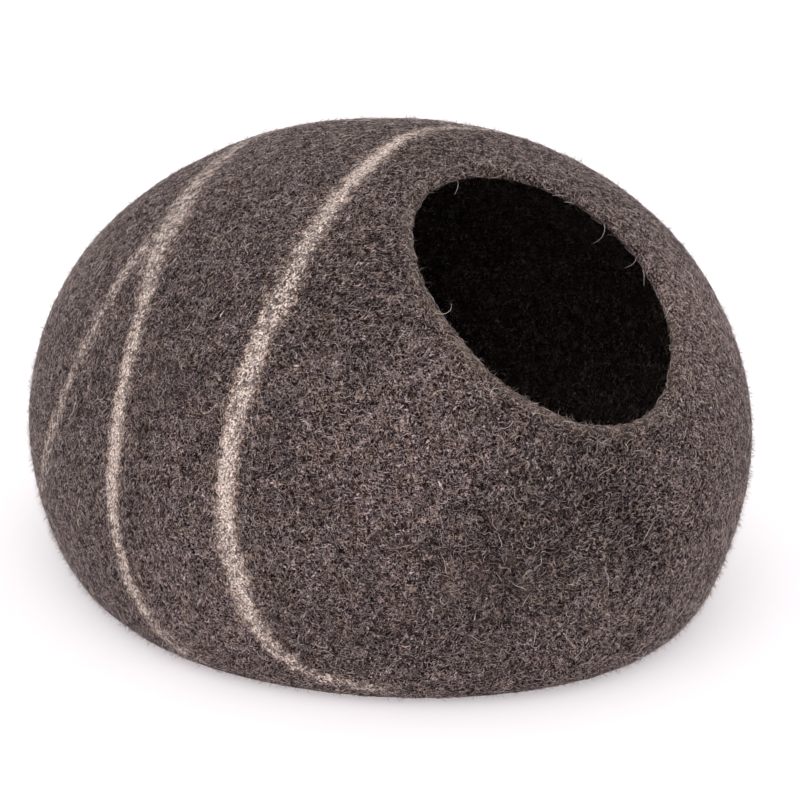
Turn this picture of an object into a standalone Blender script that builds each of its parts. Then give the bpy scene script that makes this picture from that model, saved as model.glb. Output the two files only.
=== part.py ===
"""Felt cat cave: one seamless shell of thick felted wool, shaped like a pebble.

The shell stands on a soft flat base, and an oval mouth with a rounded edge is cut in its upper front.
Metres, +Z up. The front looks towards -Y. The origin is on the floor, under the middle of the length
and of the width.
"""
import math

import bmesh
import bpy
from mathutils import Vector

# The body, as its outer skin would be if it didn't settle on the floor
LENGTH = 0.480  # front to back, along Y
HALF_WIDTH = 0.200  # along X
FRONT_REACH = 0.218  # from the widest place to the front
WIDEST_LEVEL = 0.086  # height of the widest place above the floor
CROWN_RISE = 0.181  # from the widest level up to the top
BELLY_DROP = 0.250  # from the widest level down, far past the floor that flattens it
LEAN = 0.065  # the widest level rises by this much for each metre towards +X
PLAN_POWER = 1.9  # 2 is a true ellipse, and less draws the corners in
CROWN_POWER = 2.02
BELLY_POWER = 1.67
BASE_SOFTNESS = 0.028  # the skin turns into the flat base over twice this height

# The mouth: an oval on a plane that stands across its axis
MOUTH_RISE = math.radians(45.5)  # of its axis, above the horizontal
MOUTH_REACH = 0.190  # from the widest place to the oval, along the axis
MOUTH_HALF_WIDTH = 0.072
MOUTH_HALF_HEIGHT = 0.097
MOUTH_SHIFT = -0.015  # the oval's middle lies this far to one side, along X

# The felt
WALL = 0.008
RIM_ROUND = 0.0034  # radius of both edges of the rim
RIM_STEPS = 3
RIM_ANGLE = math.radians(50)  # edges that turn more than this are the rim's

# The grid of faces: spokes run from the mouth to the pole on the far side, and rings go round
SPOKES = 64
RINGS = 34

FELT_COLOUR = (0.075, 0.064, 0.060, 1.0)
FELT_ROUGHNESS = 0.95

# All directions over the skin are measured from the middle of the widest place
CENTRE = Vector((0.0, FRONT_REACH - LENGTH / 2, WIDEST_LEVEL))
BACK_REACH = LENGTH - FRONT_REACH

ACROSS = Vector((1.0, 0.0, 0.0))
MOUTH_AXIS = Vector((0.0, -math.cos(MOUTH_RISE), math.sin(MOUTH_RISE)))
UP_FACE = MOUTH_AXIS.cross(ACROSS)
POLE = -MOUTH_AXIS


def remove_everything():
    """Empties the scene."""
    for obj in list(bpy.data.objects):
        bpy.data.objects.remove(obj, do_unlink=True)


def rounded_sum(first, second, power):
    """The length of two numbers set at a right angle, where power 2 is a circle's."""
    return (abs(first) ** power + abs(second) ** power) ** (1 / power)


def skin_distance(direction):
    """How far the unsettled outer skin is from the centre in a direction."""
    reach = FRONT_REACH if direction.y < 0 else BACK_REACH
    plan = rounded_sum(direction.x / HALF_WIDTH, direction.y / reach, PLAN_POWER)
    rise = direction.z - LEAN * direction.x
    if rise > 0:
        return 1 / rounded_sum(plan, rise / CROWN_RISE, CROWN_POWER)
    return 1 / rounded_sum(plan, rise / BELLY_DROP, BELLY_POWER)


def settled(height):
    """A height once the shell has settled: flat where it would pass the floor, with a smooth turn above."""
    if height < -BASE_SOFTNESS:
        return 0.0
    if height < BASE_SOFTNESS:
        return (height + BASE_SOFTNESS) ** 2 / (4 * BASE_SOFTNESS)
    return height


def skin_point(direction):
    """The point of the outer skin in a direction from the centre."""
    point = CENTRE + direction * skin_distance(direction)
    point.z = settled(point.z)
    return point


def mouth_direction(turn):
    """The direction from the centre of a point on the mouth's edge, by its angle round the oval."""
    on_oval = (
        MOUTH_AXIS * MOUTH_REACH
        + ACROSS * (MOUTH_SHIFT + MOUTH_HALF_WIDTH * math.cos(turn))
        + UP_FACE * (MOUTH_HALF_HEIGHT * math.sin(turn))
    )
    return on_oval.normalized()


def outer_skin():
    """The outer skin as an open mesh: rings from the mouth's edge, closed by a fan at the pole."""
    skin = bmesh.new()
    edges = [mouth_direction(2 * math.pi * spoke / SPOKES) for spoke in range(SPOKES)]
    rings = [
        [skin.verts.new(skin_point(edge.slerp(POLE, ring / RINGS))) for edge in edges]
        for ring in range(RINGS)
    ]
    for near, far in zip(rings, rings[1:]):
        for this in range(SPOKES):
            following = (this + 1) % SPOKES
            skin.faces.new((near[this], far[this], far[following], near[following]))
    tip = skin.verts.new(skin_point(POLE))
    for this in range(SPOKES):
        skin.faces.new((rings[-1][this], tip, rings[-1][(this + 1) % SPOKES]))
    mesh = bpy.data.meshes.new("felt_shell")
    skin.to_mesh(mesh)
    skin.free()
    return mesh


def felt_material():
    """Matt grey-brown wool."""
    material = bpy.data.materials.new("grey_brown_wool_felt")
    material.use_nodes = True
    shader = material.node_tree.nodes["Principled BSDF"]
    shader.inputs["Base Color"].default_value = FELT_COLOUR
    shader.inputs["Roughness"].default_value = FELT_ROUGHNESS
    shader.inputs["Metallic"].default_value = 0.0
    material.diffuse_color = FELT_COLOUR
    return material


def felt_shell():
    """The shell: the outer skin, thickened inwards to the felt's wall, with both rim edges rounded."""
    mesh = outer_skin()
    mesh.shade_smooth()
    mesh.materials.append(felt_material())
    shell = bpy.data.objects.new("felt_shell", mesh)
    bpy.context.scene.collection.objects.link(shell)

    wall = shell.modifiers.new("wall", "SOLIDIFY")
    wall.thickness = WALL
    wall.offset = -1.0
    wall.use_even_offset = True

    rim = shell.modifiers.new("rounded_rim", "BEVEL")
    rim.width = RIM_ROUND
    rim.segments = RIM_STEPS
    rim.limit_method = "ANGLE"
    rim.angle_limit = RIM_ANGLE
    return shell


remove_everything()
felt_shell()
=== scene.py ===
"""Felt cat cave: the looks of its hand-felted wool shell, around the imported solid.

The shell is one closed surface: the outer skin, the rounded rim of the mouth and the inner skin. On it lie
thousands of curled locks of wool in a few shades, fine fuzz that stands up, long loose hairs and the combed
fibres of the rim. Metres, +Z up, and the front looks towards -Y.
"""
import math
from typing import NamedTuple

import bpy
import numpy as np
from mathutils import Matrix, Vector


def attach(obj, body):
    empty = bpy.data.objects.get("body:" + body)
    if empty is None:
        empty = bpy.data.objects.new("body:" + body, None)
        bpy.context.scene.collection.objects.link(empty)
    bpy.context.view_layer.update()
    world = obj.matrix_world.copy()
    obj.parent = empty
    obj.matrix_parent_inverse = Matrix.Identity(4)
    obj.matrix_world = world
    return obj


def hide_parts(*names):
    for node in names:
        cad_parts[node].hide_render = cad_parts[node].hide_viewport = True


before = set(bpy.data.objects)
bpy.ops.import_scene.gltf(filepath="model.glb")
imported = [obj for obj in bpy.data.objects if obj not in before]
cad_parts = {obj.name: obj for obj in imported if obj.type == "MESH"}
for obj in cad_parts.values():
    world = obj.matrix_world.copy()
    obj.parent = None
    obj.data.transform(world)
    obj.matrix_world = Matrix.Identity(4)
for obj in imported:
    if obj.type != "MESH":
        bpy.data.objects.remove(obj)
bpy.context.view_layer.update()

# ---------------------------------------------------------------------------------------------------------
# Sizes of the body, as in the solid
# ---------------------------------------------------------------------------------------------------------
LENGTH = 0.480
HALF_WIDTH = 0.200
FRONT_REACH = 0.218  # from the widest place to the front
BACK_REACH = LENGTH - FRONT_REACH
WIDEST_LEVEL = 0.086  # height of the widest place above the floor
CROWN_RISE = 0.181  # from there up to the top
BELLY_DROP = 0.250  # from there down, far past the floor that flattens it
LEAN = 0.065  # the widest level rises by this much for each metre towards +X
PLAN_POWER = 1.9  # 2 is a true ellipse
CROWN_POWER = 2.02
BELLY_POWER = 1.67
BASE_SOFTNESS = 0.028  # the skin turns into the flat base over twice this height
MOUTH_RISE = math.radians(45.5)  # of its axis, above the horizontal
MOUTH_REACH = 0.190  # from the centre to the oval, along the axis
MOUTH_HALF_WIDTH = 0.072
MOUTH_HALF_HEIGHT = 0.097
MOUTH_SHIFT = -0.015  # the oval's middle lies this far to one side, along X
WALL = 0.008

CENTRE = np.array([0.0, FRONT_REACH - LENGTH / 2, WIDEST_LEVEL])
ACROSS = np.array([1.0, 0.0, 0.0])
MOUTH_AXIS = np.array([0.0, -math.cos(MOUTH_RISE), math.sin(MOUTH_RISE)])
UP_FACE = np.cross(MOUTH_AXIS, ACROSS)
POLE = -MOUTH_AXIS

# The shell's grid of faces
SPOKES = 300
OUTER_RINGS = 170
INNER_RINGS = 50
RIM_STEPS = 10
RIM_DEPTH = 0.0042  # the rounded rim starts this far from the mouth's edge
RIM_BAND = 1.5  # rings over which the rim's lighter wool fades out
EDGE_LIGHTEST = math.radians(218)  # where round the mouth its edge is lightest, from +X
EDGE_LEAST = 0.25  # how light it is on the far side from there

# Hand-felted unevenness: feature size and height, in metres
OUTER_SWELLS = ((0.090, 0.0008), (0.038, 0.0005), (0.014, 0.0003))
INNER_SWELLS = ((0.050, 0.0007), (0.018, 0.0004))
RIM_SWELLS = ((0.030, 0.0009), (0.010, 0.0004))
OUTER_SEED, INNER_SEED, RIM_SEED, FLOW_SEED = 11, 31, 51, 70
REST_FADE = 0.012  # the swells fade out below this height, so that the base stays flat
SLOPE_STEP = 1e-5  # to either side, for the skin's slope
SMALLEST = 1e-9  # no vector is taken as shorter than this

# The light stripes, by the turn round the long axis: 0 is the right side, 90 the top and 180 the left side.
# Each row has the turn in degrees, the place along Y, half the width, and how much pale wool there is.
STRIPES = (
    (
        (-28, -0.105, 0.0060, 0.30),
        (0, -0.070, 0.0065, 0.70),
        (45, -0.038, 0.0065, 0.60),
        (64, -0.024, 0.0060, 0.52),
        (76, -0.0175, 0.0060, 0.50),
        (82, -0.0170, 0.0058, 0.55),
        (88, -0.020, 0.0056, 0.70),
        (102, -0.036, 0.0058, 1.10),
        (118, -0.052, 0.0064, 0.71),
        (130, -0.064, 0.0072, 0.56),
        (138, -0.071, 0.0082, 0.55),
        (145, -0.073, 0.0062, 0.95),
        (153, -0.078, 0.0074, 0.66),
        (160, -0.081, 0.0058, 0.92),
        (170, -0.086, 0.0056, 1.30),
        (179, -0.092, 0.0068, 0.72),
        (185, -0.098, 0.0072, 0.95),
        (195, -0.106, 0.0052, 0.64),
        (204, -0.127, 0.0050, 0.48),
        (212, -0.160, 0.0045, 0.25),
    ),
    (
        (-30, 0.020, 0.0050, 0.30),
        (0, 0.050, 0.0060, 0.50),
        (45, 0.080, 0.0060, 0.45),
        (80, 0.098, 0.0065, 0.40),
        (96, 0.095, 0.0075, 0.42),
        (116, 0.074, 0.0088, 0.53),
        (126, 0.058, 0.0110, 0.71),
        (135, 0.046, 0.0108, 0.63),
        (143, 0.027, 0.0070, 0.57),
        (157, 0.009, 0.0058, 0.76),
        (170, -0.001, 0.0056, 1.00),
        (177, -0.003, 0.0062, 0.92),
        (184, -0.009, 0.0048, 0.62),
        (192, -0.015, 0.0060, 0.84),
        (200, -0.035, 0.0062, 0.52),
        (206, -0.060, 0.0050, 0.20),
    ),
    (
        (118, 0.066, 0.0050, 0.15),
        (137, 0.062, 0.0062, 0.46),
        (153, 0.062, 0.0062, 0.38),
        (168, 0.072, 0.0060, 0.44),
        (176, 0.081, 0.0070, 0.46),
        (184, 0.094, 0.0070, 0.30),
        (192, 0.106, 0.0050, 0.10),
    ),
)
STRIPE_SAMPLES = 300
HALVINGS = 40  # of the range in which the skin is looked for along a ray
STRIPE_EASE = 4  # samples over which the rows' corners are rounded
STRIPE_FAR = 3.0  # half widths past which a stripe has no say
PART_SIZE = 20000  # points that are set against a stripe at a time, to spare memory

# Patches where the dark wool's colour is made lighter or darker. Most are painted light: painted shade in
# the middle of the front below the mouth, and painted highlights at the lower left and at the right edge,
# where grazing light catches the fuzz. The rest are lighter and darker wool.
# Each row has a place (X, Y, Z), the spread in metres, and the change in tone at its middle.
TONES_AND_PAINTED_LIGHT = (
    (-0.097, -0.208, 0.093, 0.028, -0.40),
    (-0.034, -0.236, 0.095, 0.030, -0.34),
    (-0.035, -0.222, 0.140, 0.027, -0.38),
    (-0.133, -0.160, 0.142, 0.028, 0.62),
    (-0.110, -0.105, 0.200, 0.022, -0.22),
    (-0.147, -0.012, 0.200, 0.030, -0.14),
    (-0.180, 0.055, 0.120, 0.030, -0.18),
    (-0.060, -0.030, 0.255, 0.045, -0.06),
    (-0.190, -0.065, 0.045, 0.035, 0.42),
    (0.060, -0.222, 0.080, 0.028, 0.44),
    (0.080, -0.190, 0.175, 0.030, 0.95),
    (-0.065, -0.222, 0.050, 0.022, 0.12),
)

# How many strands of each kind
CURLS = 48000
FUZZ = 20000
HAIRS = 1500
RIM_FIBRES = 1500
RIM_HAIRS = 110
INNER_CURLS = 3000

# Where the strands grow and how they lie
UNDERSIDE_LEVEL = 0.0015  # faces that are lower than this and look down carry no wool
UNDERSIDE_FACING = -0.9  # the upward part of their normals
BODY_SPREAD = 0.9  # how far the strands turn from the way they mostly run, in radians
STRIPE_SPREAD = 0.5
RIM_SPREAD = 0.35
RIM_HAIR_SPREAD = 1.5
PALE_AT_EDGE = 0.5  # the chance that a strand at a stripe's edge is pale, times the stripe's strength
PALE_BY_DEPTH = 0.6  # how much that grows from the edge to the middle
STAND_CURVE = 1.6  # standing strands bend up from the skin by this power
STAND_TAPER = 0.6  # the share of their thickness that is lost on the way to the end
LIE_SINK = 0.35  # the ends of lying strands dip into the skin by this share of their rise
LIE_TAPER = 0.45  # and on the way to each end of those that lie
SKIN_CURVE = 0.16  # the usual radius of the skin, which long strands follow
LOWEST = 0.0003  # no strand goes below this height
FUZZ_FADE = 0.200  # above this height there is the least fuzz
FUZZ_AT_TOP = 0.30
FLOW_SIZE = 0.035  # over this distance the strands change the way they mostly run


class Kind(NamedTuple):
    """A kind of strand: sizes in metres and angles in radians, as (least, most) where they vary."""

    rings: int  # of three points, between its tips
    length: tuple
    half_width: float
    half_height: float
    bend: tuple
    wiggle: float
    rise: tuple  # how far it arches over the skin or stands up from it
    stands: bool  # from its root, or else it lies with its middle on the root


CURL = Kind(2, (0.0025, 0.0075), 0.00013, 0.00011, (0.3, 2.6), 0.6, (0.0002, 0.0010), False)
INNER_CURL = Kind(2, (0.0040, 0.0090), 0.00030, 0.00018, (0.3, 3.0), 0.8, (0.0002, 0.0012), False)
FUZZ_HAIR = Kind(1, (0.0018, 0.0050), 0.00014, 0.00014, (0.2, 1.8), 0.3, (0.0010, 0.0050), True)
LOOSE_HAIR = Kind(6, (0.0045, 0.0140), 0.00012, 0.00011, (0.2, 3.5), 0.5, (0.0006, 0.0020), False)
RIM_FIBRE = Kind(3, (0.0040, 0.0110), 0.00015, 0.00012, (0.1, 0.9), 0.4, (0.0003, 0.0014), False)
RIM_HAIR = Kind(8, (0.0060, 0.0160), 0.00016, 0.00016, (0.8, 2.8), 0.4, (0.0020, 0.0080), True)


# ---------------------------------------------------------------------------------------------------------
# Forms
# ---------------------------------------------------------------------------------------------------------
def unit(vectors):
    """The vectors at length 1."""
    return vectors / np.maximum(np.linalg.norm(vectors, axis=-1, keepdims=True), SMALLEST)


def rounded_sum(first, second, power):
    """The length of two numbers set at a right angle, where power 2 is a circle's."""
    return (np.abs(first) ** power + np.abs(second) ** power) ** (1 / power)


def gauge(offset):
    """1 on the unsettled skin, less inside it and more outside, for offsets from the centre."""
    reach = np.where(offset[..., 1] < 0, FRONT_REACH, BACK_REACH)
    plan = rounded_sum(offset[..., 0] / HALF_WIDTH, offset[..., 1] / reach, PLAN_POWER)
    rise = offset[..., 2] - LEAN * offset[..., 0]
    crown = rounded_sum(plan, rise / CROWN_RISE, CROWN_POWER)
    belly = rounded_sum(plan, rise / BELLY_DROP, BELLY_POWER)
    return np.where(rise > 0, crown, belly)


def settled(height):
    """A height once the shell has settled on the floor."""
    turning = (height + BASE_SOFTNESS) ** 2 / (4 * BASE_SOFTNESS)
    return np.where(height < -BASE_SOFTNESS, 0.0, np.where(height < BASE_SOFTNESS, turning, height))


def settling_slope(height):
    """How fast the settled height grows with the height: 0 on the floor and 1 above the turn."""
    return np.clip((height + BASE_SOFTNESS) / (2 * BASE_SOFTNESS), 0.0, 1.0)


def plain_skin(direction):
    """The points and the outward normals of the plain outer skin, in directions from the centre."""
    offset = direction / gauge(direction)[..., None]
    steps = SLOPE_STEP * np.eye(3)
    normal = np.stack([gauge(offset + step) - gauge(offset - step) for step in steps], axis=-1)
    point = CENTRE + offset
    normal[..., :2] *= settling_slope(point[..., 2])[..., None]
    point[..., 2] = settled(point[..., 2])
    return point, unit(normal)


# Soft noise is read from a table of random values on a grid that stands askew to the axes
LATTICE = 32
LATTICE_TURN = np.array(Matrix.Rotation(0.7, 3, Vector((0.3, 0.5, 0.8)).normalized()))


def soft_noise(points, size, seed):
    """Smooth values from about -1 to 1 with features of this size, the same in each run."""
    table = np.random.default_rng(seed).uniform(-1.0, 1.0, (LATTICE, LATTICE, LATTICE))
    cells = points @ LATTICE_TURN / size
    corner = np.floor(cells).astype(int)
    share = cells - corner
    share = share * share * (3 - 2 * share)
    total = np.zeros(points.shape[:-1])
    for step in np.ndindex(2, 2, 2):
        weight = np.prod(np.where(step, share, 1 - share), axis=-1)
        at = (corner + step) % LATTICE
        total += weight * table[at[..., 0], at[..., 1], at[..., 2]]
    return total


def swell(points, swells, seed):
    """The sum of soft noises of several sizes and heights."""
    return sum(height * soft_noise(points, size, seed + i) for i, (size, height) in enumerate(swells))


def mouth_direction(turn):
    """Directions from the centre to the mouth's edge, by their angle round the oval."""
    turn = np.asarray(turn)[..., None]
    across = MOUTH_SHIFT + MOUTH_HALF_WIDTH * np.cos(turn)
    return unit(MOUTH_AXIS * MOUTH_REACH + ACROSS * across + UP_FACE * (MOUTH_HALF_HEIGHT * np.sin(turn)))


def between(start, share):
    """Directions on the great circle from start to the pole."""
    angle = np.arccos(np.clip(start @ POLE, -1.0, 1.0))[..., None]
    return (np.sin((1 - share) * angle) * start + np.sin(share * angle) * POLE) / np.sin(angle)


def outer_skin(direction):
    """The points of the uneven outer skin."""
    point, normal = plain_skin(direction)
    fade = np.clip(point[..., 2] / REST_FADE, 0.0, 1.0)
    return point + normal * (fade * swell(point, OUTER_SWELLS, OUTER_SEED))[..., None]


def inner_skin(direction):
    """The points of the uneven inner skin, a wall's thickness inside the plain outer one."""
    point, normal = plain_skin(direction)
    depth = WALL + swell(point, INNER_SWELLS, INNER_SEED)
    return point - normal * depth[..., None]


# ---------------------------------------------------------------------------------------------------------
# Meshes from arrays
# ---------------------------------------------------------------------------------------------------------
def new_piece(name, points, faces, materials, shades=None):
    """An object of triangles and quads, as one array of faces for each, all shaded smooth."""
    mesh = bpy.data.meshes.new(name)
    mesh.vertices.add(len(points))
    mesh.vertices.foreach_set("co", np.asarray(points, np.float32).ravel())
    corners = np.concatenate([part.ravel() for part in faces])
    sides = np.concatenate([np.full(len(part), part.shape[1]) for part in faces])
    mesh.loops.add(len(corners))
    mesh.loops.foreach_set("vertex_index", corners.astype(np.int32))
    mesh.polygons.add(len(sides))
    mesh.polygons.foreach_set("loop_start", (np.cumsum(sides) - sides).astype(np.int32))
    for material in materials:
        mesh.materials.append(material)
    if shades is not None:
        mesh.polygons.foreach_set("material_index", shades.astype(np.int32))
    mesh.update(calc_edges=True)
    mesh.validate()
    mesh.shade_smooth()
    piece = bpy.data.objects.new(name, mesh)
    bpy.context.scene.collection.objects.link(piece)
    return piece


def keep_values(piece, **values):
    """Stores one number for each vertex, under a name that the materials read."""
    for name, numbers in values.items():
        stored = piece.data.attributes.new(name, "FLOAT", "POINT")
        stored.data.foreach_set("value", np.asarray(numbers, np.float32))


# ---------------------------------------------------------------------------------------------------------
# The stripes
# ---------------------------------------------------------------------------------------------------------
def stripe_line(rows):
    """A stripe's middle line on the skin, with its half width and strength at each point."""
    turn_row, along_row, half_row, strength_row = np.array(rows).T
    turn = np.linspace(turn_row[0], turn_row[-1], STRIPE_SAMPLES)
    ease = np.hanning(2 * STRIPE_EASE + 3)[1:-1]
    ease /= ease.sum()
    columns = []
    for row in (along_row, half_row, strength_row):
        values = np.pad(np.interp(turn, turn_row, row), STRIPE_EASE, mode="reflect", reflect_type="odd")
        columns.append(np.convolve(values, ease, mode="valid"))
    along, half, strength = columns
    way = np.radians(turn)
    low, high = np.zeros(STRIPE_SAMPLES), np.full(STRIPE_SAMPLES, LENGTH)
    for _ in range(HALVINGS):
        middle = (low + high) / 2
        offset = np.stack([middle * np.cos(way), along - CENTRE[1], middle * np.sin(way)], axis=-1)
        inside = gauge(offset) < 1
        low, high = np.where(inside, middle, low), np.where(inside, high, middle)
    line = CENTRE + offset
    line[:, 2] = settled(line[:, 2])
    return line, half, strength


class StripeValues:
    """What each point knows of its nearest stripe."""

    def __init__(self, points):
        count = len(points)
        self.depth = np.full(count, 1 - STRIPE_FAR)  # 1 at the middle line and 0 at the edge
        self.strength = np.zeros(count)
        self.along = np.zeros(count)  # metres along the stripe
        self.side = np.zeros(count)  # half widths to the front or the back of the middle line
        self.tangent = np.zeros((count, 3))
        for rows in STRIPES:
            line, half, strength = stripe_line(rows)
            steps = np.gradient(line, axis=0)
            travelled = np.cumsum(np.linalg.norm(steps, axis=1))
            for start in range(0, count, PART_SIZE):
                here = np.arange(start, min(start + PART_SIZE, count))
                gap = np.linalg.norm(points[here, None] - line[None], axis=-1)
                nearest = gap.argmin(axis=1)
                off = gap[np.arange(len(here)), nearest] / half[nearest]
                better = 1 - off > self.depth[here]
                here, nearest, off = here[better], nearest[better], off[better]
                self.depth[here] = 1 - off
                self.strength[here] = strength[nearest]
                self.along[here] = travelled[nearest]
                self.side[here] = off * np.sign(points[here, 1] - line[nearest, 1])
                self.tangent[here] = unit(steps[nearest])


def light_edge(points):
    """How much light wool the mouth's edge has near each point: the most at its lower left."""
    offset = points - CENTRE
    turn = np.arctan2(offset @ UP_FACE, offset @ ACROSS - MOUTH_SHIFT)
    return EDGE_LEAST + (1 - EDGE_LEAST) * (0.5 + 0.5 * np.cos(turn - EDGE_LIGHTEST))


def tone_values(points):
    """How light the dark wool is painted at each point, painted shade and painted highlights included: 1 is
    the usual.
    """
    tone = np.ones(len(points))
    for *place, spread, change in TONES_AND_PAINTED_LIGHT:
        tone += change * np.exp(-((points - place) ** 2).sum(axis=1) / (2 * spread**2))
    return tone


# ---------------------------------------------------------------------------------------------------------
# Materials
# ---------------------------------------------------------------------------------------------------------
SHIFT_WAY = (1.0, 1.7, -0.6)  # noises are moved this way


class Nodes:
    """Short ways to add nodes to a material."""

    def __init__(self, name):
        self.material = bpy.data.materials.new(name)
        self.material.use_nodes = True
        self.tree = self.material.node_tree
        self.shader = self.tree.nodes["Principled BSDF"]

    def add(self, kind, inputs=(), **settings):
        """A node with settings, and inputs given as (socket, value or output)."""
        made = self.tree.nodes.new(kind)
        for name, value in settings.items():
            setattr(made, name, value)
        for socket, value in inputs:
            if isinstance(value, bpy.types.NodeSocket):
                self.tree.links.new(value, made.inputs[socket])
            else:
                made.inputs[socket].default_value = value
        return made

    def maths(self, operation, *values, clamp=False):
        """A sum or the like of numbers."""
        inputs = tuple(enumerate(values))
        return self.add("ShaderNodeMath", inputs, operation=operation, use_clamp=clamp).outputs[0]

    def times(self, first, second, clamp=False):
        """Two numbers multiplied."""
        return self.maths("MULTIPLY", first, second, clamp=clamp)

    def vector(self, operation, first, second, output=0):
        """A sum or the like of two vectors."""
        inputs = ((0, first), (1, second))
        return self.add("ShaderNodeVectorMath", inputs, operation=operation).outputs[output]

    def dot(self, first, second):
        """The part of one vector along another, times the other's length."""
        return self.vector("DOT_PRODUCT", first, second, "Value")

    def scaled(self, vector, factor):
        """A vector or a colour times a number."""
        inputs = ((0, vector), ("Scale", factor))
        return self.add("ShaderNodeVectorMath", inputs, operation="SCALE").outputs[0]

    def noise(self, vector, size, detail=2.0, roughness=0.5, shift=0.0, output="Fac"):
        """Noise with features of this size, moved so that no two noises match."""
        moved = self.vector("ADD", vector, tuple(shift * part for part in SHIFT_WAY))
        return self.add(
            "ShaderNodeTexNoise",
            (("Vector", moved), ("Scale", 1 / size), ("Detail", detail), ("Roughness", roughness)),
        ).outputs[output]

    def ridge(self, value, band):
        """1 where the value is a half, falling to 0 at this distance from it."""
        off = self.maths("ABSOLUTE", self.maths("SUBTRACT", value, 0.5))
        return self.maths("SUBTRACT", 1.0, self.maths("DIVIDE", off, band), clamp=True)

    def mix(self, share, first, second):
        """A share of the second colour over the first. The node's colours are its sockets 6 and 7."""
        inputs = ((0, share), (6, first), (7, second))
        return self.add("ShaderNodeMix", inputs, data_type="RGBA").outputs[2]

    def value(self, name):
        """A number that the piece keeps for each vertex."""
        return self.add("ShaderNodeAttribute", attribute_name=name).outputs["Fac"]

    def remap(self, value, low, high, to_low=0.0, to_high=1.0):
        """The range from low to high, eased over a new one, which nothing leaves."""
        inputs = enumerate((value, low, high, to_low, to_high))
        return self.add("ShaderNodeMapRange", inputs, interpolation_type="SMOOTHSTEP").outputs[0]

    def mottle(self, vector, kind):
        """Noise of a kind, over its own range."""
        noise = self.noise(vector, kind.size, kind.detail, kind.roughness, kind.shift)
        return self.remap(noise, kind.low, kind.high, kind.to_low, kind.to_high)

    def all_over(self, values):
        """Sets values that are the same all over the surface, on the shader's own sockets."""
        for socket, value in values.items():
            self.shader.inputs[socket].default_value = value


# The felt's colours: its pores and dark wool, the strands over them, the stripes and the rim
PORE = (0.0046, 0.0017, 0.0017, 1.0)
DARK_WOOL = (0.0133, 0.0057, 0.0055, 1.0)
LIGHT_STRAND = (0.81, 0.630, 0.640, 1.0)
TAN_STRAND = (0.77, 0.575, 0.515, 1.0)
BROWN_WOOL = (0.1012, 0.0607, 0.0442, 1.0)
PALE_WOOL = (1.0, 0.84, 0.76, 1.0)
PALE_EDGE = (0.66, 0.49, 0.41, 1.0)
PALE_PORE = (0.190, 0.122, 0.100, 1.0)
RIM_WOOL = (0.4968, 0.3772, 0.3082, 1.0)

# The strands in the felt's colour run along six ways that are spread evenly, each where the skin follows it
GOLDEN = (1 + math.sqrt(5)) / 2
STRAND_WAYS = (
    (0, 1, GOLDEN), (0, -1, GOLDEN), (1, GOLDEN, 0), (-1, GOLDEN, 0), (GOLDEN, 0, 1), (GOLDEN, 0, -1),
)
STRAND_SPACING = 0.0010
SPACING_SHARES = (0.85, 1.0, 1.15)  # of the spacing, by turns
STRAND_WIDTH = 0.047  # as a band of the noise's values
STRAND_STRETCH = 0.15  # the spacing along a strand is longer by one over this
STRAND_SHIFT = 0.37  # moves the noise of each way, so that no two match
CURL_SIZE = 0.003  # the strands swerve over this distance
CURL_SWERVE = 0.002
PATCH_SIZE = 0.0012  # strands of one way show in patches of this width
PATCH_STRETCH = 0.30  # and longer along the strands by one over this
PATCH_SHIFT = 0.13
PATCH_RANGE = (0.42, 0.60)  # the noise's values over which a patch fades in
STEEP_RANGE = (0.25, 0.60)  # a way fades out as this much of it points out of the skin

GRAIN_SIZE = 0.0008
GRAIN_RANGE = (0.38, 0.62)  # the grain's values from the pores to the dark wool
STRAND_RELIEF = 0.8
GRAIN_RELIEF = 0.3
BROWN_SHARE = 0.18  # of brown wool, where there is the most
RIM_RANGE = (0.18, 0.75, 0.10, 1.0)  # the relief from the pores to the strands, and the rim's wool there
BUMP_STRENGTH = 0.9
BUMP_DISTANCE = 0.0007

# The pale wool of a stripe lies in streaks along it, specks and tufts, with a thin layer between them
STREAK_LENGTH = 0.0035
STREAKS_ACROSS = 3.0  # for each half width
SPECK_SIZE = 0.0013
STRIPE_TUFT_SIZE = 0.0048
STREAK_SHARE, SPECK_SHARE, TUFT_SHARE = 0.26, 0.40, 0.34
CHANCE_RANGE = (0.38, 0.61)  # the mixed values where pale wool shows in a weak stripe and in a full one
PROFILE_RANGE = (-0.75, 0.85)  # the depths from where a stripe starts to where it is full
TUFT_FADE = 0.24  # the tufts fade in over twice this
THIN_SHARE = 0.28  # of the pale wool between the tufts
LOCK_RANGE = (-0.3, 0.6)  # the depths from the stripe's darker fringe to its pale middle
STREAK_SHADE = (0.30, 0.52, 0.75, 1.0)  # the streaks' values, and how light the pale wool is there


class Mottle(NamedTuple):
    """Noise with features of a size in metres, whose values from low to high are eased over a new range."""

    size: float
    detail: float
    roughness: float
    shift: float  # moves it, so that no two match
    low: float
    high: float
    to_low: float = 0.0
    to_high: float = 1.0


PATCHES = Mottle(0.022, 3.0, 0.7, 0.9, 0.28, 0.72, 0.78, 1.22)  # how thickly the light wool lies
TUFTS = Mottle(0.0075, 1.0, 0.5, 2.3, 0.30, 0.70, 0.74, 1.26)
FINE = Mottle(0.0006, 0.0, 0.5, 2.7, 0.34, 0.66, 0.60, 1.40)  # how light each strand is along its way
WARMTH = Mottle(0.010, 3.0, 0.6, 1.9, 0.42, 0.62)  # from grey strands to tan ones
BROWNING = Mottle(0.014, 3.0, 0.65, 0.2, 0.54, 0.70)
RIM_PATCHES = Mottle(0.020, 2.0, 0.5, 1.6, 0.35, 0.65, 0.35, 1.0)
GLINTS = Mottle(0.0011, 1.0, 0.6, 3.1, 0.40, 0.58)  # light specks in the stripes


def squeezed(n, place, way, share):
    """Places drawn together along a way: noise read there is longer along it by one over the share."""
    return n.vector("ADD", place, n.scaled(way, n.times(n.dot(place, way), share - 1)))


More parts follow.
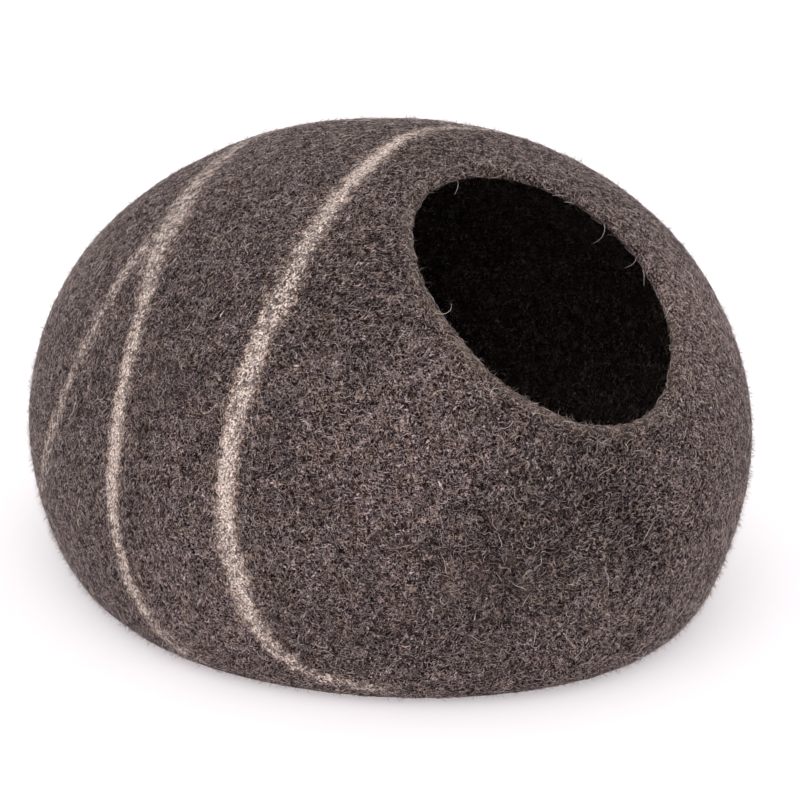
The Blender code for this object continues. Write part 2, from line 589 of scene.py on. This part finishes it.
def strand_cover(n, place, normal):
    """How much of a light strand there is at each place: thin curved lines that cross and end at random."""
    drift = n.noise(place, CURL_SIZE, detail=1.0, shift=0.31, output="Color")
    curly = n.vector("ADD", place, n.scaled(n.vector("SUBTRACT", drift, (0.5, 0.5, 0.5)), CURL_SWERVE))
    cover = 0.0
    for number, way in enumerate(STRAND_WAYS):
        way = tuple(Vector(way).normalized())
        shift = STRAND_SHIFT * number
        spacing = STRAND_SPACING * SPACING_SHARES[number % len(SPACING_SHARES)]
        along_strands = squeezed(n, curly, way, STRAND_STRETCH)
        along_patches = squeezed(n, curly, way, PATCH_STRETCH)
        lines = n.noise(along_strands, spacing, detail=0.0, shift=shift)
        patch = n.noise(along_patches, PATCH_SIZE, detail=1.0, shift=shift + PATCH_SHIFT)
        lies_flat = n.remap(n.maths("ABSOLUTE", n.dot(normal, way)), *STEEP_RANGE, 1.0, 0.0)
        line = n.times(n.ridge(lines, STRAND_WIDTH), n.remap(patch, *PATCH_RANGE))
        cover = n.maths("MAXIMUM", cover, n.times(line, lies_flat))
    return cover


def stripe_streaks(n):
    """Noise in streaks that run along the stripes."""
    along = n.maths("DIVIDE", n.value("stripe_along"), STREAK_LENGTH)
    across = n.times(n.value("stripe_side"), STREAKS_ACROSS)
    place = n.add("ShaderNodeCombineXYZ", ((0, along), (1, across))).outputs[0]
    return n.noise(place, size=1.0, detail=2.0, roughness=0.6)


def stripe_cover(n, place, streaks):
    """Where the pale wool of the stripes lies: about as much of each place as the stripe is strong there."""
    specks = n.noise(place, SPECK_SIZE, detail=1.0, roughness=0.6, shift=1.3)
    tufts = n.noise(place, STRIPE_TUFT_SIZE, detail=1.0, shift=2.1)
    mixed = n.maths("ADD", n.times(streaks, STREAK_SHARE), n.times(specks, SPECK_SHARE))
    mixed = n.maths("ADD", mixed, n.times(tufts, TUFT_SHARE))
    level = n.times(n.remap(n.value("stripe_depth"), *PROFILE_RANGE), n.value("stripe_strength"))
    above = n.maths("SUBTRACT", level, n.remap(mixed, *CHANCE_RANGE))
    return n.maths("MAXIMUM", n.remap(above, -TUFT_FADE, TUFT_FADE), n.times(level, THIN_SHARE))


def felt_material():
    """Matt felt: light strands over dark pores, with patches, tufts, pale stripes, a lighter rim, and
    painted shade and painted highlights.
    """
    n = Nodes("grey_brown_felt")
    coordinates = n.add("ShaderNodeTexCoord").outputs
    place = coordinates["Object"]
    strands = strand_cover(n, place, coordinates["Normal"])
    grain = n.noise(place, GRAIN_SIZE, detail=1.0, roughness=0.6, shift=0.5)
    relief = n.maths("ADD", n.times(strands, STRAND_RELIEF), n.times(grain, GRAIN_RELIEF))

    # The level takes in the tone patches: painted shade on the front and painted highlights at the edges
    level = n.times(n.times(n.mottle(place, PATCHES), n.mottle(place, TUFTS)), n.value("tone"))
    ground = n.scaled(n.mix(n.remap(grain, *GRAIN_RANGE), PORE, DARK_WOOL), level)
    share = n.times(strands, n.times(n.mottle(place, FINE), level), clamp=True)
    dark = n.mix(share, ground, n.mix(n.mottle(place, WARMTH), LIGHT_STRAND, TAN_STRAND))
    dark = n.mix(n.times(n.mottle(place, BROWNING), BROWN_SHARE), dark, BROWN_WOOL)

    rim = n.times(n.value("rim"), n.remap(relief, *RIM_RANGE))
    dark = n.mix(n.times(rim, n.mottle(place, RIM_PATCHES)), dark, RIM_WOOL)

    streaks = stripe_streaks(n)
    lit = n.maths("MAXIMUM", strands, n.mottle(place, GLINTS))
    locks = n.mix(n.remap(n.value("stripe_depth"), *LOCK_RANGE), PALE_EDGE, PALE_WOOL)
    pale = n.mix(n.times(lit, n.remap(streaks, *STREAK_SHADE)), PALE_PORE, locks)
    colour = n.mix(stripe_cover(n, place, streaks), dark, pale)

    inputs = (("Strength", BUMP_STRENGTH), ("Distance", BUMP_DISTANCE), ("Height", relief))
    n.tree.links.new(colour, n.shader.inputs["Base Color"])
    n.tree.links.new(n.add("ShaderNodeBump", inputs).outputs[0], n.shader.inputs["Normal"])
    n.all_over({
        "Roughness": 0.95,
        "Specular IOR Level": 0.05,
        "Sheen Weight": 0.10,
        "Sheen Roughness": 0.22,
        "Sheen Tint": (0.90, 0.80, 0.78, 1.0),
    })
    return n.material


# The shades of single locks and hairs, from dark to nearly white
WOOL_SHADES = {
    "charcoal": (0.0322, 0.0193, 0.0184),
    "grey_brown": (0.0883, 0.0616, 0.0598),
    "grey": (0.2208, 0.1684, 0.1656),
    "light_grey": (0.3864, 0.311, 0.3091),
    "tan": (0.23, 0.161, 0.1288),
    "pale": (0.5796, 0.4738, 0.4278),
    "cream": (0.90, 0.79, 0.72),
}
# How much of each shade there is in the wool of a kind
DARK_MIX = {
    "charcoal": 0.24, "grey_brown": 0.08, "grey": 0.10, "light_grey": 0.28, "pale": 0.26, "tan": 0.04,
}
PALE_MIX = {"pale": 0.35, "cream": 0.5, "light_grey": 0.08, "tan": 0.07}
HAIR_MIX = {"grey": 0.16, "light_grey": 0.28, "pale": 0.28, "cream": 0.28}
FUZZ_MIX = {"grey_brown": 0.20, "grey": 0.30, "light_grey": 0.30, "pale": 0.20}
RIM_MIX = {"charcoal": 0.16, "tan": 0.34, "grey": 0.14, "light_grey": 0.14, "pale": 0.22}


def wool_shade(name):
    """Wool of one shade, for single locks."""
    n = Nodes(name + "_wool")
    n.all_over({
        "Base Color": (*WOOL_SHADES[name], 1.0),
        "Roughness": 0.85,
        "Specular IOR Level": 0.12,
        "Sheen Weight": 0.15,
        "Sheen Roughness": 0.5,
    })
    return n.material


WOOL = [wool_shade(name) for name in WOOL_SHADES]


# ---------------------------------------------------------------------------------------------------------
# The shell
# ---------------------------------------------------------------------------------------------------------
def grid_faces(rings, spokes):
    """Quads between rows of points that close on themselves."""
    index = np.arange(rings * spokes).reshape(rings, spokes)
    near, far = index[:-1], index[1:]
    return np.stack([near, np.roll(near, -1, 1), np.roll(far, -1, 1), far], axis=-1).reshape(-1, 4)


def felt_shell(material):
    """The closed shell, as rings of points from the outer pole, over the rim, to the inner pole."""
    edge = mouth_direction(np.linspace(0, 2 * np.pi, SPOKES, endpoint=False))
    lip, _ = plain_skin(edge)
    reach = np.linalg.norm(lip - CENTRE, axis=-1)
    set_back = RIM_DEPTH / reach / np.arccos(edge @ POLE)  # as a share of the way to the pole

    def skin_rings(count):
        """Directions in rings, from where the rounded rim starts towards the pole."""
        share = np.linspace(0, 1, count, endpoint=False)[:, None]
        share = set_back + (1 - set_back) * share
        return between(edge[None], share[..., None])

    outer = outer_skin(skin_rings(OUTER_RINGS))
    inner = inner_skin(skin_rings(INNER_RINGS))
    middle = (outer[0] + inner[0]) / 2
    half_wall = (outer[0] - inner[0]) / 2
    forward = unit(lip - outer[0])
    depth = RIM_DEPTH + swell(lip, RIM_SWELLS, RIM_SEED)
    turn = np.linspace(0, np.pi, RIM_STEPS + 1, endpoint=False)[1:, None, None]
    rim = middle + half_wall * np.cos(turn) + forward * depth[:, None] * np.sin(turn)

    outer_tip = outer_skin(POLE[None])
    inner_tip = inner_skin(POLE[None])
    rows = np.concatenate([outer[::-1], rim, inner])
    points = np.concatenate([rows.reshape(-1, 3), outer_tip, inner_tip])
    count = len(rows)
    first, last = np.arange(SPOKES), (count - 1) * SPOKES + np.arange(SPOKES)
    outer_pole, inner_pole = count * SPOKES, count * SPOKES + 1
    fan_out = np.stack([np.full(SPOKES, outer_pole), np.roll(first, -1), first], axis=-1)
    fan_in = np.stack([np.full(SPOKES, inner_pole), last, np.roll(last, -1)], axis=-1)
    shell = new_piece("felted_shell", points, (grid_faces(count, SPOKES), fan_out, fan_in), [material])

    row = np.concatenate([np.repeat(np.arange(count), SPOKES), [0, count - 1]])
    rim_end = OUTER_RINGS + RIM_STEPS
    stripes = StripeValues(points)
    strength = np.where(row < rim_end, stripes.strength, 0.0)
    beyond = np.where(row < OUTER_RINGS, OUTER_RINGS - 1 - row, np.maximum(row - rim_end, 0))
    keep_values(
        shell,
        stripe_depth=stripes.depth,
        stripe_strength=strength,
        stripe_along=stripes.along,
        stripe_side=stripes.side,
        # Painted shade and painted highlights, with the wool's lighter and darker patches
        tone=tone_values(points),
        rim=np.clip(1 - beyond / RIM_BAND, 0, 1) ** 2 * light_edge(points),
        row=row,
    )
    return shell


# ---------------------------------------------------------------------------------------------------------
# Wool: locks and hairs as thin closed strands of three sides
# ---------------------------------------------------------------------------------------------------------
class Skin:
    """The shell's surface, to grow wool from."""

    def __init__(self, shell):
        mesh = shell.data
        mesh.calc_loop_triangles()
        count = len(mesh.vertices)
        self.points = self.read(mesh.vertices, "co", count, 3)
        self.normals = self.read(mesh.vertex_normals, "vector", count, 3)
        row = self.read(mesh.attributes["row"].data, "value", count, 1)
        corners = np.empty(len(mesh.loop_triangles) * 3, np.int32)
        mesh.loop_triangles.foreach_get("vertices", corners)
        self.corners = corners.reshape(-1, 3)
        first, second, third = (self.points[self.corners[:, i]] for i in range(3))
        self.area = np.linalg.norm(np.cross(second - first, third - first), axis=1) / 2
        self.middle = (first + second + third) / 3
        self.facing = self.normals[self.corners].mean(axis=1)
        self.row = row[self.corners][:, :, 0].mean(axis=1)

    @staticmethod
    def read(rows, name, count, width):
        """The numbers of a mesh as rows of this width."""
        values = np.empty(count * width, np.float32)
        rows.foreach_get(name, values)
        return values.reshape(count, width).astype(float)

    def roots(self, count, weight, rng):
        """Random places on the skin, by area times weight, and their normals."""
        chance = self.area * weight
        chosen = self.corners[rng.choice(len(chance), count, p=chance / chance.sum())]
        share = rng.dirichlet((1, 1, 1), count)[:, :, None]
        return (self.points[chosen] * share).sum(axis=1), unit((self.normals[chosen] * share).sum(axis=1))


def strand_faces(rings):
    """The triangles of one closed three-sided strand: a tip, its rings and the other tip."""
    tip = 3 * rings + 1
    faces = []
    for here in range(3):
        following = (here + 1) % 3
        faces.append((0, 1 + here, 1 + following))
        for near in range(1, tip - 3, 3):
            far = near + 3
            faces.append((near + here, far + following, near + following))
            faces.append((near + here, far + here, far + following))
        faces.append((tip, tip - 3 + following, tip - 3 + here))
    return np.array(faces)


def strands(name, kind, roots, normals, toward, spread, shades, rng):
    """A piece of closed three-sided strands that start out along toward, give or take spread."""
    count = len(roots)
    share = np.linspace(0, 1, kind.rings + 2)
    helper = np.where(np.abs(normals[:, 2:]) < 0.8, (0.0, 0.0, 1.0), (1.0, 0.0, 0.0))
    east = unit(np.cross(helper, normals))
    north = np.cross(normals, east)
    first_way = np.arctan2((toward * north).sum(axis=1), (toward * east).sum(axis=1))
    first_way = (first_way + rng.normal(0, 1, count) * spread)[:, None]

    def pick(pair):
        """A random number between two, for each strand."""
        return rng.uniform(*pair, (count, 1))

    size = pick(kind.length)
    turning = pick(kind.bend) * rng.choice((-1, 1), (count, 1))
    lift = pick(kind.rise)
    wave = pick((-kind.wiggle, kind.wiggle)) * np.sin(2 * np.pi * (share + pick((0, 1))))
    heading = first_way + turning * (share - 0.5) + wave
    step = size / (kind.rings + 1)
    along = np.cumsum(np.cos(heading) * step, axis=1)
    sideways = np.cumsum(np.sin(heading) * step, axis=1)
    if kind.stands:
        along, sideways = along - along[:, :1], sideways - sideways[:, :1]
        height = lift * share**STAND_CURVE
        taper = 1 - STAND_TAPER * share[1:-1]
    else:
        along = along - along.mean(axis=1, keepdims=True)
        sideways = sideways - sideways.mean(axis=1, keepdims=True)
        height = lift * (4 * share * (1 - share) - LIE_SINK)
        taper = 1 - LIE_TAPER * np.abs(2 * share[1:-1] - 1) ** 2
    height = height - (along**2 + sideways**2) / (2 * SKIN_CURVE)

    path = (
        roots[:, None]
        + east[:, None] * along[..., None]
        + north[:, None] * sideways[..., None]
        + normals[:, None] * height[..., None]
    )
    forward = unit(np.gradient(path, axis=1))
    side = unit(np.cross(forward, normals[:, None]))
    top = np.cross(side, forward)
    corner = np.radians((90, 210, 330))[:, None]
    around = side[:, 1:-1, None] * (kind.half_width * np.cos(corner))
    around = around + top[:, 1:-1, None] * (kind.half_height * np.sin(corner))
    tube = path[:, 1:-1, None] + around * taper[:, None, None]
    points = np.concatenate([path[:, :1], tube.reshape(count, -1, 3), path[:, -1:]], axis=1)
    points[..., 2] = np.maximum(points[..., 2], LOWEST)

    faces = strand_faces(kind.rings)
    first = points.shape[1] * np.arange(count)
    every = (faces[None] + first[:, None, None]).reshape(-1, 3)
    return new_piece(name, points.reshape(-1, 3), (every,), WOOL, np.repeat(shades, len(faces)))


def choose(rng, count, weights):
    """Random shades, by the weights of their names."""
    names = list(WOOL_SHADES)
    chance = np.array([weights.get(name, 0.0) for name in names])
    return rng.choice(len(names), count, p=chance / chance.sum())


def flow(points):
    """The way in which the wool mostly runs at each point."""
    return np.stack([soft_noise(points, FLOW_SIZE, FLOW_SEED + axis) for axis in range(3)], axis=-1)


def body_wool(name, kind, skin, count, weight, mix, seed):
    """Strands over the body, which run along the stripes and are pale inside them."""
    rng = np.random.default_rng(seed)
    roots, normals = skin.roots(count, weight, rng)
    stripes = StripeValues(roots)
    chance = stripes.strength * np.clip(PALE_AT_EDGE + PALE_BY_DEPTH * stripes.depth, 0, 1)
    pale = rng.uniform(0, 1, count) < chance
    shades = np.where(pale, choose(rng, count, PALE_MIX), choose(rng, count, mix))
    toward = np.where(pale[:, None], stripes.tangent, flow(roots))
    spread = np.where(pale, STRIPE_SPREAD, BODY_SPREAD)
    return strands(name, kind, roots, normals, toward, spread, shades, rng)


def rim_wool(name, kind, skin, count, weight, mix, spread, seed):
    """Strands that are combed along the mouth's edge."""
    rng = np.random.default_rng(seed)
    roots, normals = skin.roots(count, weight, rng)
    toward = np.cross(MOUTH_AXIS, roots - CENTRE - MOUTH_AXIS * MOUTH_REACH)
    return strands(name, kind, roots, normals, toward, spread, choose(rng, count, mix), rng)


def wool_on(skin):
    """All the wool pieces on the shell."""
    underside = (skin.middle[:, 2] <= UNDERSIDE_LEVEL) & (skin.facing[:, 2] <= UNDERSIDE_FACING)
    rim_middle = OUTER_RINGS + RIM_STEPS / 2
    outer = (skin.row < rim_middle) & ~underside
    inner = skin.row > OUTER_RINGS + RIM_STEPS
    lip = np.abs(skin.row - rim_middle) < RIM_STEPS
    edge = lip * light_edge(skin.middle)
    turn = np.degrees(np.arctan2(skin.middle[:, 0], -skin.middle[:, 1]))
    quarters = {
        "curls_front": np.abs(turn) <= 45,
        "curls_right": (turn > 45) & (turn <= 135),
        "curls_left": (turn < -45) & (turn >= -135),
        "curls_back": np.abs(turn) > 135,
    }
    total = (skin.area * outer).sum()
    pieces = []
    for number, (name, within) in enumerate(quarters.items()):
        weight = outer & within
        count = int(CURLS * (skin.area * weight).sum() / total)
        pieces.append(body_wool(name, CURL, skin, count, weight, DARK_MIX, seed=100 + number))
    low = 1 - (1 - FUZZ_AT_TOP) * np.clip(skin.middle[:, 2] / FUZZ_FADE, 0, 1)
    pieces += [
        body_wool("fine_fuzz", FUZZ_HAIR, skin, FUZZ, outer * low, FUZZ_MIX, seed=200),
        body_wool("loose_hairs", LOOSE_HAIR, skin, HAIRS, outer, HAIR_MIX, seed=300),
        rim_wool("rim_fibres", RIM_FIBRE, skin, RIM_FIBRES, edge, RIM_MIX, RIM_SPREAD, seed=400),
        rim_wool("rim_hairs", RIM_HAIR, skin, RIM_HAIRS, lip, HAIR_MIX, RIM_HAIR_SPREAD, seed=450),
        body_wool("curls_inside", INNER_CURL, skin, INNER_CURLS, inner, DARK_MIX, seed=500),
    ]
    for piece in pieces:
        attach(piece, "root")
    return pieces


# ---------------------------------------------------------------------------------------------------------
# Camera, floor and light
# ---------------------------------------------------------------------------------------------------------
VIEW_TURN, VIEW_RISE = -42, 20  # degrees round from the front, and above the horizontal
VIEW_DISTANCE = 1.7
AIM = Vector((0.0, -0.022, 0.130))
AIM_DROP = 0.0205  # the view's middle lies this far below the aim
SENSOR = 36.0
LENS = 2890 / 800 * SENSOR  # a focal length of 2890 px in a picture 800 px wide

FLOOR_HALF = 6.0
FLOOR_LEVEL = -0.0004
LIGHT_TURN, LIGHT_RISE = -50, 60
LIGHT_DISTANCE = 2.2
LIGHT_SIZE = 1.4
LIGHT_POWER = 8.2


def outward(turn, rise):
    """The way from the object to what stands at a turn round it and a rise, in degrees."""
    turn, rise = math.radians(turn), math.radians(rise)
    return Vector((math.sin(turn) * math.cos(rise), -math.cos(turn) * math.cos(rise), math.sin(rise)))


def camera():
    """The camera at the photograph's angle and distance."""
    turn = math.radians(VIEW_TURN)
    right = Vector((math.cos(turn), math.sin(turn), 0))
    back = outward(VIEW_TURN, VIEW_RISE)
    up = back.cross(right)
    data = bpy.data.cameras.new("camera")
    data.sensor_width = SENSOR
    data.lens = LENS
    data.clip_end = 50
    eye = bpy.data.objects.new("camera", data)
    bpy.context.scene.collection.objects.link(eye)
    place = AIM - up * AIM_DROP + back * VIEW_DISTANCE
    eye.matrix_world = Matrix.Translation(place) @ Matrix((right, up, back)).transposed().to_4x4()
    bpy.context.scene.camera = eye


def floor():
    """A plain pale floor, far wider than the view."""
    corners = [(x * FLOOR_HALF, y * FLOOR_HALF, 0) for x, y in ((-1, -1), (1, -1), (1, 1), (-1, 1))]
    n = Nodes("studio_floor")
    n.all_over({
        "Base Color": (0.717, 0.696, 0.707, 1.0),
        "Roughness": 0.9,
        "Specular IOR Level": 0.1,
        "Emission Color": (1.0, 0.95, 0.98, 1.0),
        "Emission Strength": 0.42,
    })
    mesh = bpy.data.meshes.new("studio_floor")
    mesh.from_pydata(corners, [], [(0, 1, 2, 3)])
    mesh.materials.append(n.material)
    made = bpy.data.objects.new("studio_floor", mesh)
    made.location.z = FLOOR_LEVEL
    bpy.context.scene.collection.objects.link(made)


def key_light():
    """A square soft box that looks at the object from the left, high above it."""
    back = outward(LIGHT_TURN, LIGHT_RISE)
    data = bpy.data.lights.new("key", "AREA")
    data.energy = LIGHT_POWER
    data.size = LIGHT_SIZE
    lamp = bpy.data.objects.new("key", data)
    lamp.location = back * LIGHT_DISTANCE
    lamp.rotation_euler = back.to_track_quat("Z", "Y").to_euler()
    bpy.context.scene.collection.objects.link(lamp)


def studio():
    """White surroundings with one soft light, and colours shown as they are."""
    world = bpy.data.worlds.new("white_studio")
    world.use_nodes = True
    background = world.node_tree.nodes["Background"].inputs
    background["Color"].default_value = (1, 1, 1, 1)
    background["Strength"].default_value = 1.0
    bpy.context.scene.world = world
    key_light()
    bpy.context.scene.view_settings.view_transform = "Standard"
    bpy.context.scene.view_settings.look = "None"


# ---------------------------------------------------------------------------------------------------------
# Making
# ---------------------------------------------------------------------------------------------------------
camera()
floor()
studio()
shell = felt_shell(felt_material())
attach(shell, "root")
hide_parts("felt_shell")
wool = wool_on(Skin(shell))
